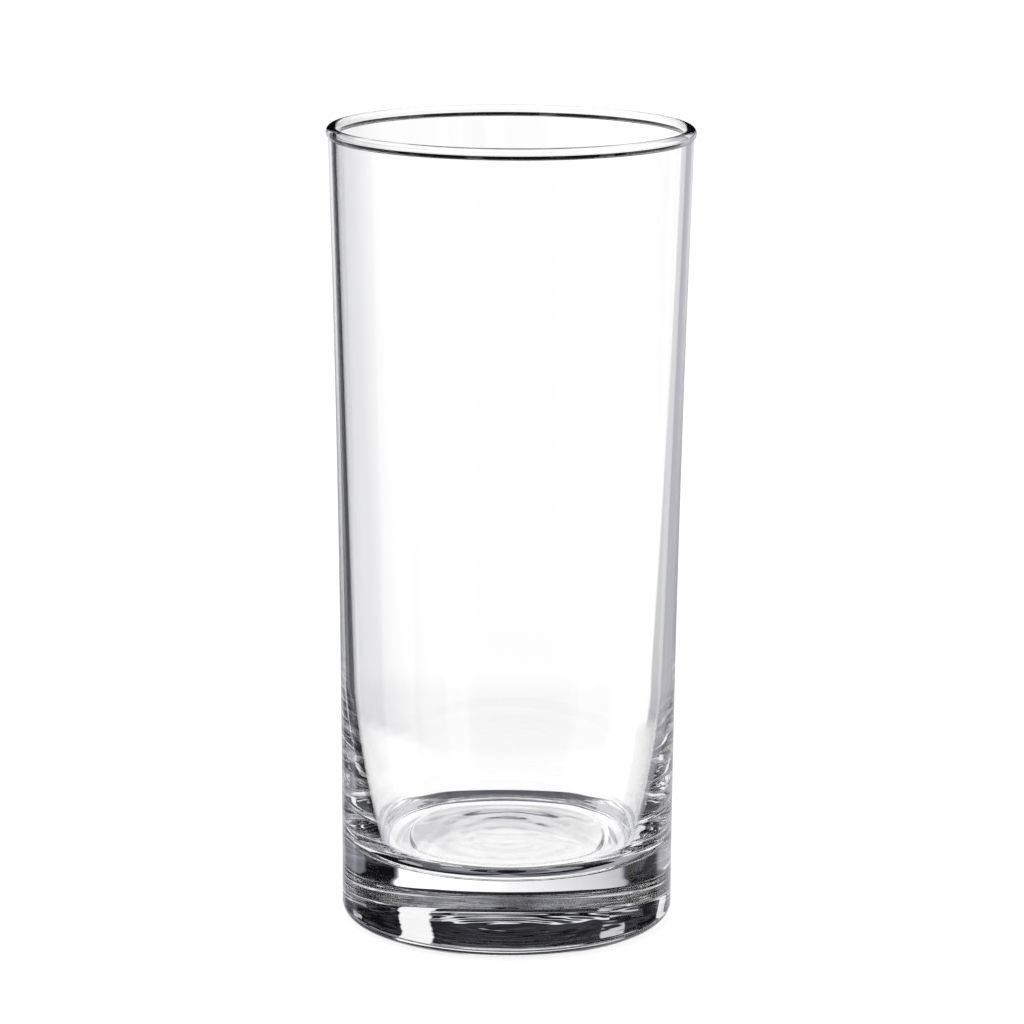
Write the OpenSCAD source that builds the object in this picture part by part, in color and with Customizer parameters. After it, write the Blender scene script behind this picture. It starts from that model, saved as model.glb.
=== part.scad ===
// Highball glass: one piece of clear glass, revolved about its upright axis.
// The side flares gently from an upright foot and thins towards a round bead at the rim.
// The inside curves in above a thick floor, whose middle is a low disc.
// Underneath, a shallow push-up lies within a flat ring and a rounded heel.
// The origin is on the table, under the middle of the foot, with +Z up.

/* [Overall] */
// Height from the table to the top of the rim
height = 150; // [120:1:180]
// Outside diameter across the rim bead
rim_d = 68; // [60:0.5:80]
// Outside diameter of the upright foot
foot_d = 62.2; // [54:0.1:70]

/* [Side] */
// Height at which the upright foot starts to flare
flare_z = 12; // [8:0.5:30]
// Inward bow of the flared side, from a straight line
side_bow = 0.45; // [0:0.05:1]
// Wall thickness just under the rim bead
wall_rim = 1.35; // [0.8:0.05:2]
// Wall thickness that the straight inside wall would have at the floor
wall_foot = 3.1; // [2:0.1:6]

/* [Rim bead] */
// How far the bead stands out from the outside of the wall
bead_out = 0.45; // [0.1:0.05:0.8]
// How far the bead stands in from the inside of the wall
bead_in = 0.4; // [0.1:0.05:0.8]

/* [Base] */
// Thickness of the glass at the disc in the middle of the floor
floor_t = 13.7; // [8:0.1:25]
// Height above which the inside wall is straight, and below which it curves in
inside_curve_z = 46; // [36:1:70]
// Lean of the inside wall where it meets the floor corner, in degrees from upright
inside_tilt = 10.5; // [4:0.5:20]
// Radius of the corner between the inside wall and the floor
corner_r = 6.4; // [3:0.1:10]
// Width of the flat ring between the corner and the disc
floor_ring_w = 0.3; // [0.1:0.1:3]
// Rise of the disc above that ring
disc_rise = 0.4; // [0.1:0.1:1]
// Width of the sloped edge of the disc
disc_edge = 0.8; // [0.4:0.1:2]
// How far the heel, the rounded bottom edge, reaches in underneath
heel_w = 4; // [1:0.25:6]
// How far the heel reaches up the foot
heel_h = 3; // [0.6:0.1:5]
// Width of the flat ring that the glass stands on
bearing_w = 3; // [1:0.5:8]
// Height of the shallow push-up inside that ring
push_up = 0.6; // [0:0.1:3]

/* [Hidden] */
// Radii of the outside at the rim, of the side under the bead, and of the foot
rim_r = rim_d / 2;
side_r = rim_r - bead_out;
foot_r = foot_d / 2;
// Radii of the inside under the bead, and where its line meets the floor
inside_r = side_r - wall_rim;
inside_foot_r = foot_r - wall_foot;
// The bead is a full round that covers the wall and stands proud on both faces
bead_r = (bead_out + wall_rim + bead_in) / 2;
bead_centre = [rim_r - bead_r, height - bead_r];
// Angles on the bead at which the side and the inside wall run into it
bead_start = -acos((side_r - bead_centre.x) / bead_r);
bead_end = 180 + acos((bead_centre.x - inside_r) / bead_r);
// Radius of the edge of the push-up
push_up_r = foot_r - heel_w - bearing_w;
// Heights of the ring round the disc, and of the top of the corner
ring_z = floor_t - disc_rise;
corner_z = ring_z + corner_r * (1 - sin(inside_tilt));
// Steps along each curve of the section, and round the axis
curve_steps = 24;
revolve_steps = 180;

function unit(v) = v / norm(v);

// Points along an arc of the ellipse with half axes r, with angles in degrees
function arc(centre, r, from, to) =
    [for (i = [0:curve_steps])
        let (a = from + (to - from) * i / curve_steps)
        centre + [r.x * cos(a), r.y * sin(a)]];

// Points from a to b, bowed to the left of the way there
function bowed(a, b, bow) =
    let (left = unit([a.y - b.y, b.x - a.x]))
    [for (i = [0:curve_steps])
        let (t = i / curve_steps)
        a + (b - a) * t + left * 4 * bow * t * (1 - t)];

// Half section of the glass, from the axis under the base, round the outside and back to the axis
bead = arc(bead_centre, [bead_r, bead_r], bead_start, bead_end);
underside = bowed([0, push_up], [push_up_r, 0], push_up / 4);
heel = arc([foot_r - heel_w, heel_h], [heel_w, heel_h], -90, 0);
side = bowed([foot_r, flare_z], bead[0], side_bow);
// The inside wall is straight under the bead, then leans in more and more down to the corner
lean = (bead[curve_steps].x - inside_foot_r) / (bead[curve_steps].y - ring_z);
inset = (tan(inside_tilt) - lean) / (inside_curve_z - corner_z) / 2;
function inside_at(z) =
    [bead[curve_steps].x - lean * (bead[curve_steps].y - z) - inset * pow(inside_curve_z - z, 2), z];
lower_inside = [for (i = [0:curve_steps - 1])
    inside_at(inside_curve_z + (corner_z - inside_curve_z) * i / curve_steps)];
// The corner takes over the lean of the inside wall and runs out level on the floor
corner_centre = [inside_at(corner_z).x - corner_r * cos(inside_tilt), ring_z + corner_r];
corner = arc(corner_centre, [corner_r, corner_r], -inside_tilt, -90);
disc_r = corner_centre.x - floor_ring_w - disc_edge;
disc = [[disc_r + disc_edge, ring_z], [disc_r, floor_t], [0, floor_t]];
section = concat(underside, heel, side, bead, lower_inside, corner, disc);

module highball_glass() {
    color([0.86, 0.92, 0.93], 0.4)
        rotate_extrude($fn = revolve_steps)
            polygon(section);
}

highball_glass();
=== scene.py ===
# Highball glass: one turned piece of clear glass on a white table, in a studio set up for glass.
import math

import bpy
from mathutils import Matrix, Vector


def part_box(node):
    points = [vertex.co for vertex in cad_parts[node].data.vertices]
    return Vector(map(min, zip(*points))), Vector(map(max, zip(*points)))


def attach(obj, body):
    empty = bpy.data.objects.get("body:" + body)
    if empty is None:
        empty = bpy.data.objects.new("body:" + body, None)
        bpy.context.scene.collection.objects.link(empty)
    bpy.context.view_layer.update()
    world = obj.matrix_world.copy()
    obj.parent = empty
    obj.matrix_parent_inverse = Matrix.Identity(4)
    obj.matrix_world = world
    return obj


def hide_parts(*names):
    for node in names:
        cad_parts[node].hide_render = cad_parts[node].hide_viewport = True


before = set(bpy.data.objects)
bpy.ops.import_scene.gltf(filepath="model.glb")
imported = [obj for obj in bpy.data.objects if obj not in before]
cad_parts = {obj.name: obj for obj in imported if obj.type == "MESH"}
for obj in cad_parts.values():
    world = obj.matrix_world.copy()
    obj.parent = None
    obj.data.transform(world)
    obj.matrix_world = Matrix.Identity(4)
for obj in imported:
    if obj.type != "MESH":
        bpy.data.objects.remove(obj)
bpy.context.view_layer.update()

MM = 0.001

# Glass, in millimetres: the rim and the height come from the frame
highest_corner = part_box("highball_glass")[1]
RIM_R = highest_corner[0] / MM
HEIGHT = highest_corner[2] / MM
FOOT_R = 31.1
FLARE_Z = 12.0
SIDE_BOW = 0.45
WALL_RIM = 1.35
WALL_FOOT = 3.1
BEAD_OUT = 0.45
BEAD_IN = 0.4
FLOOR_T = 13.7
FLOOR_RING_W = 0.3
DISC_RISE = 0.4
DISC_EDGE = 0.8
INSIDE_CURVE_Z = 46.0
INSIDE_TILT = 10.5
CORNER_R = 6.4
HEEL_W = 4.0
HEEL_H = 3.0
HEEL_R = FOOT_R - HEEL_W
BEARING_W = 3.0
PUSH_UP = 0.6
PUSH_UP_R = HEEL_R - BEARING_W

# Steps round the axis, and along each stretch of the section
TURN_STEPS = 240
PUSH_UP_STEPS = 64
BEARING_STEPS = 6
HEEL_STEPS = 16
FOOT_STEPS = 10
SIDE_STEPS = 40
BEAD_STEPS = 28
WALL_STEPS = 30
CURVE_STEPS = 72
CORNER_STEPS = 30
FLOOR_RING_STEPS = 6
DISC_EDGE_STEPS = 8
DISC_STEPS = 64
MERGE_MM = 0.001

# Marks of the mould, in millimetres: spacing and depth of rings and dimples
DISC_RING = (4.5, 0.05)
PUSH_UP_RING = (3.4, 0.02)
INSIDE_RING = (2.6, 0.003)
DIMPLE = (5.0, 0.05)
DIMPLE_FADE = 2.0
DIMPLE_TOP = PUSH_UP + 0.1

# Finish of the glass: rings in the lower wall and patches of haze, in millimetres, and its optics
WALL_RING = (5.0, 0.008)
WALL_RING_LENGTH = 40.0
WALL_RING_FADE = (52.0, 22.0)
HAZE_PATCH = 18.0
HAZE_SHARE = (0.45, 0.75)
HAZE_ROUGHNESS = 0.012
GLASS_IOR = 1.52
BOUNCES = 32

# Camera, fitted to the rim and foot ellipses of a square picture, with its angles in radians
PICTURE_PX = 1024
FOCAL_PX = 4478.9
SENSOR_MM = 36.0
CAMERA_AT = (0.58 * MM, -816.9 * MM, 250.1 * MM)
CAMERA_PITCH = 0.2080
CAMERA_ROLL = 0.0063

# Angles of the studio are degrees up from the horizon, or round to the right from behind the glass.
# A band is its first angle, its last angle and the softness of its edges. FAR is past every angle.
FAR = 200.0
TURN_FROM = -123.0
QUARTER = 45.0

# Counts of faces, halfway between whole numbers: one face at all, and the far wall of the hollow
ANY_FACE = 0.5
FAR_WALL = 3.5

# Panel: its top as the hollow, the mirroring faces and the rim show it, its foot, and its levels
PANEL_TOP = (-FAR, 6.5, 1.5)
MIRROR_TOP = (-FAR, 11.5, 1.0)
RIM_TOP = (-FAR, 0.0, 1.5)
RIM_EDGE = ((-42, 0.5), (-38, 12.0), (-25, 8.0), (-18, 5.5), (18, 5.5), (23, 8.0), (36, 12.0), (40, 0.5))
RIM_EDGE_MOST = 20.0
PANEL_FOOT = (-51.75, FAR, 1.25)
PANEL_LEVEL = 1.2
FLOOR_LEVEL = 0.12
FOOT_LEVEL = 0.35

# Cards that the base and the rim show, as turns and tones, and a raised white card at the left
BASE_CARDS = ((-123, 0.3), (-80, 0.42), (-62, 0.36), (-57, 0.07), (-36, 0.0), (-33.5, 0.5), (-26, 0.63),
              (-12, 0.74), (0, 0.85), (5, 1.0), (30.5, 1.0), (32, 0.0), (49, 0.0), (51, 0.22), (102, 0.26),
              (105, 1.0), (166, 1.0), (169, 0.0), (237, 0.0))
BELOW_CARDS = (-FAR, -18.5, 1.0)
LEFT_CARD_ACROSS = (-121.0, -62.0, 1.0)
LEFT_CARD_UP = (-11.5, FAR, 1.5)
LEFT_CARD_LEVEL = 0.8

# Sides that the wall mirrors in itself, as turns and tones, with dusk beside them and a flag in front
WALL_SIDES = ((-45, 0.0), (-21, 0.0), (-18, 0.85), (-5, 0.9), (9, 0.95), (12, 0.42), (26, 0.38), (29, 0.42),
              (45, 0.42))
DUSK_UP = (-7.0, 9.0, 2.0)
DUSK_GAP = (-45.0, 45.0, 5.0)
DUSK_SIDES = ((-60, 0.2), (60, 0.5))
DUSK_SHARE = 0.65
FRONT_FLAG = (155.0, 205.0, 6.0)

# Panel behind the hollow, as turns and tones, for a view from the front and for one from the back
BEHIND = ((-42, 1.0), (-32, 0.9), (-25, 0.85), (-15, 0.8), (-11, 0.785), (-8, 0.77), (-6, 0.82),
          (-4.5, 0.865), (-3.2, 0.95), (5, 0.96), (13, 1.2), (13.7, 0.6), (40, 0.58))
BEHIND_TURNS = (0.0, 135.0)
BEHIND_FOOT = (-FAR, -21.5, 1.0)
BEHIND_FOOT_TONE = 0.96
BEHIND_LEVEL = 0.975
DIM_BAND = (-22.5, -16.8, 1.0)
DIM_DEPTH = 0.07

# Streaks of light: their size in degrees, and rows of slats with their band, pattern share and level
STREAK_SIZE = (60.0, 5.0)
SLATS = (((-7.0, 16.3, 1.0), (0.56, 0.64), 0.9), ((15.0, 32.0, 1.0), (0.42, 0.7), 0.12))

# Lamps: strips with their band across, their band up and their level, a fill and a lamp overhead
STRIP_LAMPS = (((19.0, 30.0, 0.5), (5.0, 60.0, 1.0), 1.0), ((-28.0, 16.0, 0.2), (14.7, 16.0, 0.4), 0.9),
               ((-42.0, -28.0, 0.4), (12.5, 14.8, 0.8), 0.7), ((-36.0, -26.0, 0.5), (19.5, 24.0, 1.0), 0.7))
FILL_LAMP = (10.0, 46.0, 3.0)
FILL_LEVEL = 0.75
OVER_LAMP = (53.0, 81.0, 4.0)
OVER_SHARE = (0.42, 0.56)
OVER_LEVEL = 0.55

# Room that the outer face mirrors, as turns and tones, and the bands in which it is light
ROOM_SIDES = ((-123, 0.04), (-115, 0.04), (-109, 0.7), (-46, 0.7), (-39, 0.25), (-27, 0.25), (-20, 0.7),
              (57, 0.7), (63, 0.04), (120, 0.04), (126, 0.35), (144, 0.35), (150, 0.04))
ROOM_TOP = (-FAR, -1.5, 1.5)
ROOM_FOOT = (-15.25, FAR, 0.75)
ROOM_BEHIND = (-50.0, 50.0, 4.0)

# Light on the table, the darkest tone of the studio, and its colours
MATT_LEVEL = 0.7
BLACK_LEVEL = 0.008
DARK_TINT = "#d8d9ec"
LIGHT_TINT = "#ffffff"

# Table and lamp, with their sizes and places in metres
TABLE_SIZE = 40.0
TABLE_GREY = "#8a8a8a"
TABLE_GLOW = 0.88
LAMP_AT = (-0.3, -0.2, 1.2)
LAMP_SIZE = 1.0
LAMP_WATTS = 6.0

# Kinds of node that come up often
MATH = "ShaderNodeMath"
MIX = "ShaderNodeMix"
RANGE = "ShaderNodeMapRange"


def linear(colour):
    """Turn an sRGB hex colour into the linear values that a socket takes."""
    parts = [int(colour[i:i + 2], 16) / 255 for i in (1, 3, 5)]
    return [c / 12.92 if c <= 0.04045 else ((c + 0.055) / 1.055) ** 2.4 for c in parts] + [1.0]


def add(tree, kind, links=None, **settings):
    """Add a node with its settings, and fill its inputs with values or with other outputs."""
    node = tree.nodes.new(kind)
    for name, value in settings.items():
        setattr(node, name, value)
    for socket, value in (links or {}).items():
        if isinstance(value, bpy.types.NodeSocket):
            tree.links.new(value, node.inputs[socket])
        else:
            node.inputs[socket].default_value = value
    return node.outputs[0] if len(node.outputs) else node


def stretch(start, end, steps, bow=0.0):
    """Points from start to end, closer together towards both ends, bowed to the left of the way."""
    start, end = Vector(start), Vector(end)
    way = end - start
    left = Vector((-way.y, way.x)).normalized()
    shares = [(1 - math.cos(math.pi * i / steps)) / 2 for i in range(steps + 1)]
    return [start + way * t + left * 4 * bow * t * (1 - t) for t in shares]


def arc(centre, half_axes, start, end, steps):
    """Points on an ellipse, between two angles in degrees."""
    angles = [math.radians(start + (end - start) * i / steps) for i in range(steps + 1)]
    return [Vector((centre[0] + half_axes[0] * math.cos(a), centre[1] + half_axes[1] * math.sin(a)))
            for a in angles]


def ring_depth(rings, at, length):
    """Depth of shallow rings at a place along a face, which fade out at both of its ends."""
    spacing, depth = rings
    return depth * math.sin(math.pi * at / spacing) ** 2 * math.sin(math.pi * at / length)


def inside_runs(start):
    """Stretches of the inside: from the bead down the wall, round the corner and over the disc."""
    ring_z = FLOOR_T - DISC_RISE
    lean = (start.x - FOOT_R + WALL_FOOT) / (start.y - ring_z)
    tilt = math.radians(INSIDE_TILT)
    curve_h = INSIDE_CURVE_Z - ring_z - CORNER_R * (1 - math.sin(tilt))
    inset = (math.tan(tilt) - lean) / curve_h / 2
    curve = []
    for i in range(CURVE_STEPS + 1):
        down = curve_h * i / CURVE_STEPS
        r = start.x - lean * (start.y - INSIDE_CURVE_Z + down) - inset * down ** 2
        curve.append(Vector((r + ring_depth(INSIDE_RING, down, curve_h), INSIDE_CURVE_Z - down)))
    corner_at = (curve[-1].x - CORNER_R * math.cos(tilt), ring_z + CORNER_R)
    corner = arc(corner_at, (CORNER_R, CORNER_R), -INSIDE_TILT, -90, CORNER_STEPS)
    disc_r = corner_at[0] - FLOOR_RING_W - DISC_EDGE
    disc_edge = []
    for i in range(DISC_EDGE_STEPS + 1):
        share = i / DISC_EDGE_STEPS
        rise = DISC_RISE * (1 - math.cos(math.pi * share)) / 2
        disc_edge.append(Vector((disc_r + DISC_EDGE * (1 - share), ring_z + rise)))
    disc = [Vector((r, FLOOR_T - ring_depth(DISC_RING, r, disc_r)))
            for r in (disc_r * (1 - i / DISC_STEPS) for i in range(DISC_STEPS + 1))]
    return [
        stretch(start, curve[0], WALL_STEPS),
        curve,
        corner,
        stretch(corner[-1], disc_edge[0], FLOOR_RING_STEPS),
        disc_edge,
        disc,
    ]


def glass_section():
    """Half section, from the axis under the base, round the outside and back to the axis."""
    side_r = RIM_R - BEAD_OUT
    inside_r = side_r - WALL_RIM
    bead_r = (BEAD_OUT + WALL_RIM + BEAD_IN) / 2
    bead_at = (RIM_R - bead_r, HEIGHT - bead_r)
    bead_start = -math.degrees(math.acos((side_r - bead_at[0]) / bead_r))
    bead_end = 180 + math.degrees(math.acos((bead_at[0] - inside_r) / bead_r))
    bead = arc(bead_at, (bead_r, bead_r), bead_start, bead_end, BEAD_STEPS)
    push_up = [Vector((r, PUSH_UP * (1 - (r / PUSH_UP_R) ** 2) + ring_depth(PUSH_UP_RING, r, PUSH_UP_R)))
               for r in (PUSH_UP_R * i / PUSH_UP_STEPS for i in range(PUSH_UP_STEPS + 1))]
    runs = [
        push_up,
        stretch((PUSH_UP_R, 0), (HEEL_R, 0), BEARING_STEPS),
        arc((HEEL_R, HEEL_H), (HEEL_W, HEEL_H), -90, 0, HEEL_STEPS),
        stretch((FOOT_R, HEEL_H), (FOOT_R, FLARE_Z), FOOT_STEPS),
        stretch((FOOT_R, FLARE_Z), bead[0], SIDE_STEPS, SIDE_BOW),
        bead,
    ]
    runs += inside_runs(bead[-1])
    return runs[0] + [point for run in runs[1:] for point in run[1:]]


def turn_glass():
    """Draw the half section as a chain of edges, then turn it about the upright axis."""
    points = [Vector((p.x, 0, p.y)) * MM for p in glass_section()]
    bpy.ops.object.select_all(action="DESELECT")
    bpy.ops.mesh.primitive_plane_add(size=MM, location=points[0])
    glass = bpy.context.object
    glass.name = "tumbler"
    bpy.ops.object.transform_apply(location=True, rotation=True, scale=True)
    bpy.ops.object.mode_set(mode="EDIT")
    bpy.ops.mesh.select_all(action="SELECT")
    bpy.ops.mesh.merge(type="CENTER")
    for here, there in zip(points, points[1:]):
        bpy.ops.mesh.extrude_region_move(TRANSFORM_OT_translate={"value": there - here})
    bpy.ops.mesh.select_all(action="SELECT")
    bpy.ops.mesh.spin(steps=TURN_STEPS, angle=2 * math.pi, center=(0, 0, 0), axis=(0, 0, 1))
    bpy.ops.mesh.select_all(action="SELECT")
    bpy.ops.mesh.remove_doubles(threshold=MERGE_MM * MM)
    bpy.ops.mesh.normals_make_consistent(inside=False)
    bpy.ops.mesh.select_all(action="DESELECT")
    bpy.ops.object.mode_set(mode="OBJECT")
    dimple_push_up(glass)
    bpy.ops.object.shade_smooth()
    return glass


def dimple_push_up(glass):
    """Uneven dimples that the mould leaves under the base, inside the flat ring."""
    size, depth = DIMPLE
    marks = glass.vertex_groups.new(name="push_up")
    edge_r = PUSH_UP_R * MM
    for vertex in glass.data.vertices:
        r = vertex.co.xy.length
        if vertex.co.z < DIMPLE_TOP * MM and r < edge_r:
            marks.add([vertex.index], min(1.0, (edge_r - r) / (DIMPLE_FADE * MM)), "REPLACE")
    clouds = bpy.data.textures.new("mould_dimples", "CLOUDS")
    clouds.noise_scale = size * MM
    clouds.noise_depth = 1
    dent = glass.modifiers.new("mould_dimples", "DISPLACE")
    dent.texture = clouds
    dent.texture_coords = "LOCAL"
    dent.direction = "Z"
    dent.mid_level = 0.5
    dent.strength = depth * MM
    dent.vertex_group = "push_up"
    bpy.ops.object.modifier_apply(modifier=dent.name)


def polished_glass():
    """Soda-lime glass, pressed and fire-polished: clear, with bright and black lines where it bends."""
    material = bpy.data.materials.new("soda_lime_glass_fire_polished")
    material.use_nodes = True
    tree = material.node_tree
    shader = tree.nodes["Principled BSDF"]
    shader.inputs["Base Color"].default_value = linear("#ffffff")
    shader.inputs["IOR"].default_value = GLASS_IOR
    shader.inputs["Transmission Weight"].default_value = 1.0

    place = tree.nodes.new("ShaderNodeTexCoord").outputs["Object"]
    height = add(tree, "ShaderNodeSeparateXYZ", {"Vector": place}).node.outputs["Z"]

    # Rings where the hot glass met the cold mould: uneven, level, and only in the thick lower wall
    spacing, depth = WALL_RING
    scale = [1 / (length * MM) for length in (WALL_RING_LENGTH, WALL_RING_LENGTH, spacing)]
    level = add(tree, "ShaderNodeMapping", {"Vector": place, "Scale": scale})
    rings = add(tree, "ShaderNodeTexNoise",
                {"Vector": level, "Scale": 1.0, "Detail": 1.0, "Roughness": 0.4})
    lower = add(tree, RANGE, {"Value": height, "From Min": WALL_RING_FADE[0] * MM,
                              "From Max": WALL_RING_FADE[1] * MM}, interpolation_type="SMOOTHSTEP")
    lower_rings = add(tree, MATH, {0: rings, 1: lower}, operation="MULTIPLY")
    bump = add(tree, "ShaderNodeBump", {"Height": lower_rings, "Strength": 1.0, "Distance": depth * MM})
    tree.links.new(bump, shader.inputs["Normal"])

    # Faint haze from handling and washing, in patches of a finger's width
    patches = add(tree, "ShaderNodeTexNoise",
                  {"Vector": place, "Scale": 1 / (HAZE_PATCH * MM), "Detail": 2.0})
    haze = add(tree, RANGE, {"Value": patches, "From Min": HAZE_SHARE[0], "From Max": HAZE_SHARE[1],
                             "To Min": 0.0, "To Max": HAZE_ROUGHNESS})
    tree.links.new(haze, shader.inputs["Roughness"])
    return material


def between(tree, angle, low, high, soft):
    """Part of the studio between two angles: 1 inside and 0 outside, with soft edges."""
    rise = add(tree, RANGE, {"Value": angle, "From Min": low - soft, "From Max": low + soft},
               interpolation_type="SMOOTHSTEP")
    fall = add(tree, RANGE, {"Value": angle, "From Min": high + soft, "From Max": high - soft},
               interpolation_type="SMOOTHSTEP")
    return add(tree, MATH, {0: rise, 1: fall}, operation="MULTIPLY")


def tones(tree, angle, stops):
    """Row of cards in the studio: a tone for each angle of a list, with an even change between them."""
    first, last = stops[0][0], stops[-1][0]
    share = add(tree, RANGE, {"Value": angle, "From Min": first, "From Max": last})
    row = add(tree, "ShaderNodeValToRGB", {"Fac": share})
    marks = row.node.color_ramp.elements
    while len(marks) < len(stops):
        marks.new(0.5)
    for mark, (at, level) in zip(marks, stops):
        mark.position = (at - first) / (last - first)
        mark.color = (level, level, level, 1.0)
    return row


def directions(tree):
    """Direction of a ray in degrees: up, round, and round folded into quarters."""
    place = tree.nodes.new("ShaderNodeTexCoord").outputs["Generated"]
    xyz = add(tree, "ShaderNodeSeparateXYZ", {"Vector": place}).node.outputs
    slope = add(tree, MATH, {0: xyz["Z"]}, operation="ARCSINE")
    up = add(tree, MATH, {0: slope}, operation="DEGREES")
    bearing = add(tree, MATH, {0: xyz["X"], 1: xyz["Y"]}, operation="ARCTAN2")
    degrees = add(tree, MATH, {0: bearing}, operation="DEGREES")
    turn = add(tree, MATH, {0: degrees, 1: TURN_FROM, 2: TURN_FROM + 360}, operation="WRAP")
    fold = add(tree, MATH, {0: turn, 1: -QUARTER, 2: QUARTER}, operation="WRAP")
    return up, turn, fold


def base_cards(tree, up, turn):
    """Black and grey cards that the base and the rim show, over white, with a raised card at the left."""
    below = between(tree, up, *BELOW_CARDS)
    cards = add(tree, MATH, {0: below, 1: tones(tree, turn, BASE_CARDS)}, operation="MAXIMUM")
    left = add(tree, MATH, {0: between(tree, turn, *LEFT_CARD_ACROSS), 1: between(tree, up, *LEFT_CARD_UP)},
               operation="MULTIPLY")
    left_tone = add(tree, MATH, {0: left, 1: LEFT_CARD_LEVEL}, operation="MULTIPLY")
    return add(tree, MATH, {0: cards, 1: left_tone}, operation="MAXIMUM")


def wall_sides(tree, up, turn, fold):
    """Dark, white and grey sides that the wall mirrors in itself, with dusk beside and a flag in front."""
    beside = add(tree, MATH, {0: DUSK_SHARE, 1: between(tree, turn, *DUSK_GAP)},
                 operation="SUBTRACT", use_clamp=True)
    dusk = add(tree, MATH, {0: between(tree, up, *DUSK_UP), 1: beside}, operation="MULTIPLY")
    sides = add(tree, MIX, {"Factor": dusk, "A": tones(tree, fold, WALL_SIDES),
                            "B": tones(tree, turn, DUSK_SIDES)})
    unflagged = add(tree, MATH, {0: 1.0, 1: between(tree, turn, *FRONT_FLAG)}, operation="SUBTRACT")
    return add(tree, MATH, {0: sides, 1: unflagged}, operation="MULTIPLY")


def panel_behind(tree, up, turn):
    """Panel behind the hollow: it fades to grey on the left and ends in a grey card on the right."""
    stops = [(at + centre, level) for centre in BEHIND_TURNS for at, level in BEHIND]
    behind = add(tree, MIX, {"Factor": between(tree, up, *BEHIND_FOOT), "A": tones(tree, turn, stops),
                             "B": BEHIND_FOOT_TONE})
    lit = add(tree, MATH, {0: behind, 1: BEHIND_LEVEL}, operation="MULTIPLY")
    dim = between(tree, up, *DIM_BAND)
    return add(tree, MATH, {0: dim, 1: -DIM_DEPTH, 2: lit}, operation="MULTIPLY_ADD")


def panel_edges(tree, up, turn, mirrored, hollow):
    """Top and foot of the panel, which lie elsewhere for rays that were mirrored or passed the hollow."""
    heights = tones(tree, turn, [(at, edge / RIM_EDGE_MOST) for at, edge in RIM_EDGE])
    rim_edge = add(tree, MATH, {0: heights, 1: RIM_EDGE_MOST}, operation="MULTIPLY")
    past = add(tree, MATH, {0: up, 1: rim_edge}, operation="SUBTRACT")
    bent = add(tree, MATH, {0: hollow, 1: mirrored}, operation="MAXIMUM")
    bent_top = add(tree, MIX, {"Factor": hollow, "A": between(tree, up, *MIRROR_TOP),
                               "B": between(tree, up, *PANEL_TOP)})
    top = add(tree, MIX, {"Factor": bent, "A": between(tree, past, *RIM_TOP), "B": bent_top})
    foot = add(tree, MIX, {"Factor": bent, "A": 1.0, "B": between(tree, up, *PANEL_FOOT)})
    under = add(tree, MIX, {"Factor": mirrored, "A": FLOOR_LEVEL, "B": FOOT_LEVEL})
    foot_tone = add(tree, MATH, {0: foot, 1: under}, operation="MAXIMUM")
    return add(tree, MATH, {0: top, 1: foot_tone}, operation="MULTIPLY")


def level_streaks(tree, up, turn):
    """Uneven pattern of long level streaks, from which the slats and the overhead lamp are cut."""
    place = add(tree, "ShaderNodeCombineXYZ", {"X": turn, "Y": up})
    across, tall = STREAK_SIZE
    row = add(tree, "ShaderNodeMapping", {"Vector": place, "Scale": (1 / across, 1 / tall, 1.0)})
    return add(tree, "ShaderNodeTexNoise", {"Vector": row, "Scale": 1.0, "Detail": 3.0, "Roughness": 0.6})


def slats_and_lamps(tree, up, turn, fold, mirrored, hollow):
    """Slats and strips that base and lower wall mirror, a fill for the disc, and a lamp overhead."""
    solid = add(tree, MATH, {0: mirrored, 1: hollow}, operation="SUBTRACT", use_clamp=True)
    streaks = level_streaks(tree, up, turn)
    sources = []
    for band, share, level in SLATS:
        slats = add(tree, RANGE, {"Value": streaks, "From Min": share[0], "From Max": share[1],
                                  "To Max": level})
        reach = add(tree, MATH, {0: between(tree, up, *band), 1: solid}, operation="MULTIPLY")
        sources.append(add(tree, MATH, {0: slats, 1: reach}, operation="MULTIPLY"))
    for across, tall, level in STRIP_LAMPS:
        strip = add(tree, MATH, {0: between(tree, fold, *across), 1: between(tree, up, *tall)},
                    operation="MULTIPLY")
        strip_tone = add(tree, MATH, {0: strip, 1: level}, operation="MULTIPLY")
        sources.append(add(tree, MATH, {0: strip_tone, 1: solid}, operation="MULTIPLY"))

    through = add(tree, MATH, {0: hollow, 1: mirrored}, operation="MULTIPLY")
    fill = add(tree, MATH, {0: between(tree, up, *FILL_LAMP), 1: FILL_LEVEL}, operation="MULTIPLY")
    sources.append(add(tree, MATH, {0: fill, 1: through}, operation="MULTIPLY"))
    uneven = add(tree, RANGE, {"Value": streaks, "From Min": OVER_SHARE[0], "From Max": OVER_SHARE[1],
                               "To Max": OVER_LEVEL})
    over = between(tree, up, *OVER_LAMP)
    sources.append(add(tree, MATH, {0: over, 1: uneven}, operation="MULTIPLY"))
    return sources


def dim_room(tree, up, turn):
    """Room that the outer face mirrors: dark overhead, in front and, except behind the glass, low down."""
    lit = add(tree, MATH, {0: tones(tree, turn, ROOM_SIDES), 1: between(tree, up, *ROOM_TOP)},
              operation="MULTIPLY")
    reach = add(tree, MATH, {0: between(tree, up, *ROOM_FOOT), 1: between(tree, turn, *ROOM_BEHIND)},
                operation="MAXIMUM")
    return add(tree, MATH, {0: lit, 1: reach}, operation="MULTIPLY")


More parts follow.
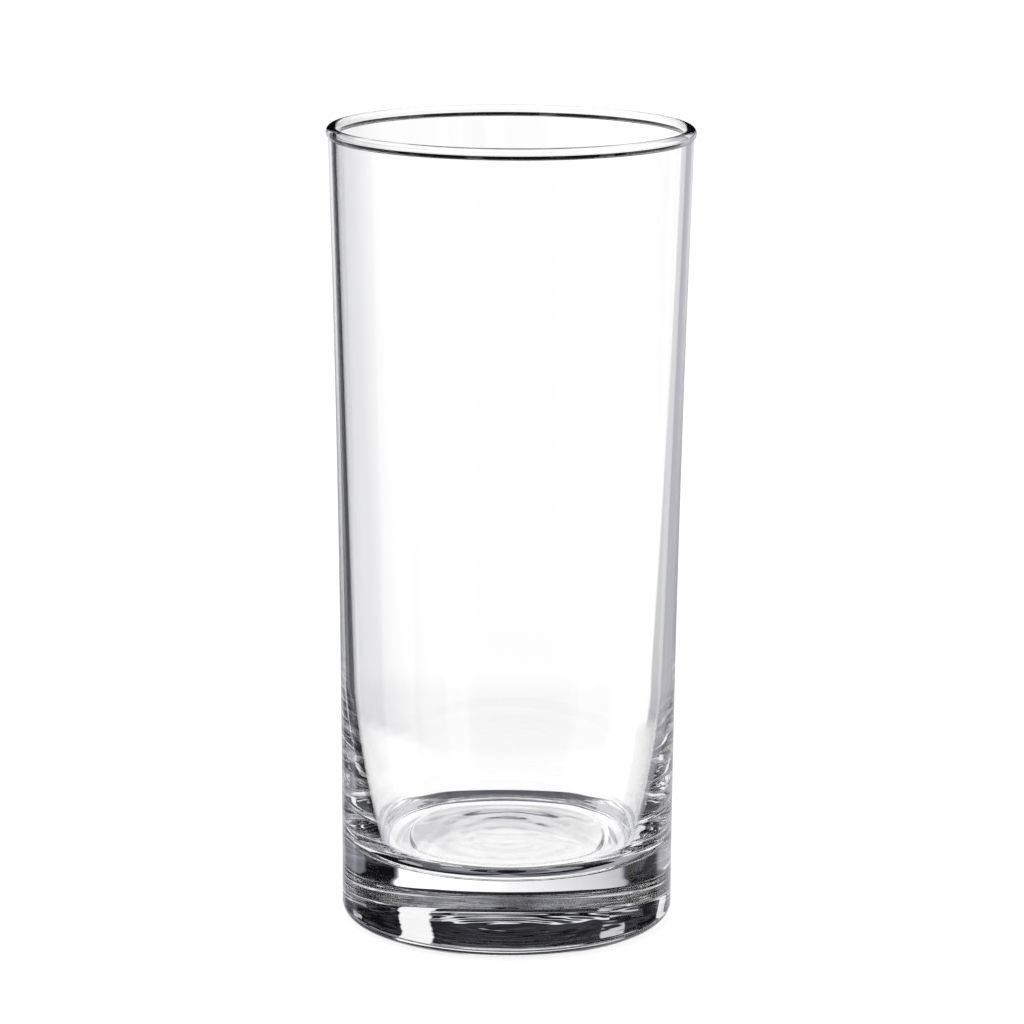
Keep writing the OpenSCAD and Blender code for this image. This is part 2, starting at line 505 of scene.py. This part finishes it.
def studio():
    """Light for glass: a white panel all round with black cards, so that edges show as dark lines."""
    world = bpy.data.worlds.new("studio")
    bpy.context.scene.world = world
    world.use_nodes = True
    tree = world.node_tree
    tree.nodes.clear()
    up, turn, fold = directions(tree)

    # What a ray has been through: the outer face only, a mirroring face, or the hollow of the glass
    path = tree.nodes.new("ShaderNodeLightPath").outputs
    outer = add(tree, MATH, {0: path["Transmission Depth"], 1: ANY_FACE}, operation="LESS_THAN")
    mirrored = add(tree, MATH, {0: path["Glossy Depth"], 1: ANY_FACE}, operation="GREATER_THAN")
    hollow = add(tree, MATH, {0: path["Transmission Depth"], 1: FAR_WALL}, operation="GREATER_THAN")

    # The panel, with the cards that such a ray meets, and the brightest of the lamps over it
    solid_tone = add(tree, MIX, {"Factor": mirrored, "A": base_cards(tree, up, turn),
                                 "B": wall_sides(tree, up, turn, fold)})
    tone = add(tree, MIX, {"Factor": hollow, "A": solid_tone, "B": panel_behind(tree, up, turn)})
    edges = panel_edges(tree, up, turn, mirrored, hollow)
    panel = add(tree, MATH, {0: tone, 1: edges}, operation="MULTIPLY")
    light = add(tree, MATH, {0: panel, 1: PANEL_LEVEL}, operation="MULTIPLY")
    for source in slats_and_lamps(tree, up, turn, fold, mirrored, hollow):
        light = add(tree, MATH, {0: light, 1: source}, operation="MAXIMUM")

    # The outer face mirrors a dim room, matt surfaces get an even light, and the camera sees white
    light = add(tree, MIX, {"Factor": outer, "A": light, "B": dim_room(tree, up, turn)})
    light = add(tree, MIX, {"Factor": path["Is Diffuse Ray"], "A": light, "B": MATT_LEVEL})
    light = add(tree, MATH, {0: light, 1: path["Is Camera Ray"]}, operation="MAXIMUM")
    light = add(tree, MATH, {0: light, 1: BLACK_LEVEL}, operation="MAXIMUM")
    tint = add(tree, "ShaderNodeMixRGB", {0: light, 1: linear(DARK_TINT), 2: linear(LIGHT_TINT)})
    background = add(tree, "ShaderNodeBackground", {"Color": tint, "Strength": light})
    add(tree, "ShaderNodeOutputWorld", {"Surface": background})


def table():
    """White table: pure white to the camera, with a faint shadow round the foot of the glass."""
    bpy.ops.object.select_all(action="DESELECT")
    bpy.ops.mesh.primitive_plane_add(size=TABLE_SIZE, location=(0, 0, 0))
    top = bpy.context.object
    top.name = "table_top"
    top.visible_glossy = False
    top.visible_transmission = False
    material = bpy.data.materials.new("white_laminate_matt")
    material.use_nodes = True
    tree = material.node_tree
    tree.nodes.clear()
    matt = add(tree, "ShaderNodeBsdfDiffuse", {"Color": linear(TABLE_GREY)})
    seen = tree.nodes.new("ShaderNodeLightPath").outputs["Is Camera Ray"]
    bright = add(tree, "ShaderNodeEmission", {"Strength": TABLE_GLOW})
    none = add(tree, "ShaderNodeEmission", {"Strength": 0.0})
    glow = add(tree, "ShaderNodeMixShader", {0: seen, 1: none, 2: bright})
    both = add(tree, "ShaderNodeAddShader", {0: matt, 1: glow})
    add(tree, "ShaderNodeOutputMaterial", {"Surface": both})
    top.data.materials.append(material)


def lamp():
    """One wide soft lamp overhead, for the shadow on the table."""
    bpy.ops.object.light_add(type="AREA", location=LAMP_AT)
    area = bpy.context.object
    area.name = "overhead_lamp"
    area.data.shape = "DISK"
    area.data.size = LAMP_SIZE
    area.data.energy = LAMP_WATTS
    area.rotation_euler = Vector(area.location).to_track_quat("Z", "Y").to_euler()
    area.visible_glossy = False
    area.visible_transmission = False


def camera():
    """Camera at the photograph's place, looking a little down."""
    bpy.ops.object.camera_add()
    made = bpy.context.object
    ahead = Vector((0, math.cos(CAMERA_PITCH), -math.sin(CAMERA_PITCH)))
    upright = Vector((0, math.sin(CAMERA_PITCH), math.cos(CAMERA_PITCH)))
    across = Vector((1, 0, 0))
    right = across * math.cos(CAMERA_ROLL) + upright * math.sin(CAMERA_ROLL)
    over = upright * math.cos(CAMERA_ROLL) - across * math.sin(CAMERA_ROLL)
    place = Matrix((right, over, -ahead)).transposed().to_4x4()
    place.translation = CAMERA_AT
    made.matrix_world = place
    made.data.sensor_width = SENSOR_MM
    made.data.lens = FOCAL_PX / PICTURE_PX * SENSOR_MM
    bpy.context.scene.camera = made


tumbler = turn_glass()
tumbler.data.materials.append(polished_glass())
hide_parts("highball_glass")
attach(tumbler, "root")

studio()
table()
lamp()
camera()

scene = bpy.context.scene
scene.view_settings.view_transform = "Standard"
scene.cycles.max_bounces = BOUNCES
scene.cycles.glossy_bounces = BOUNCES
scene.cycles.transmission_bounces = BOUNCES
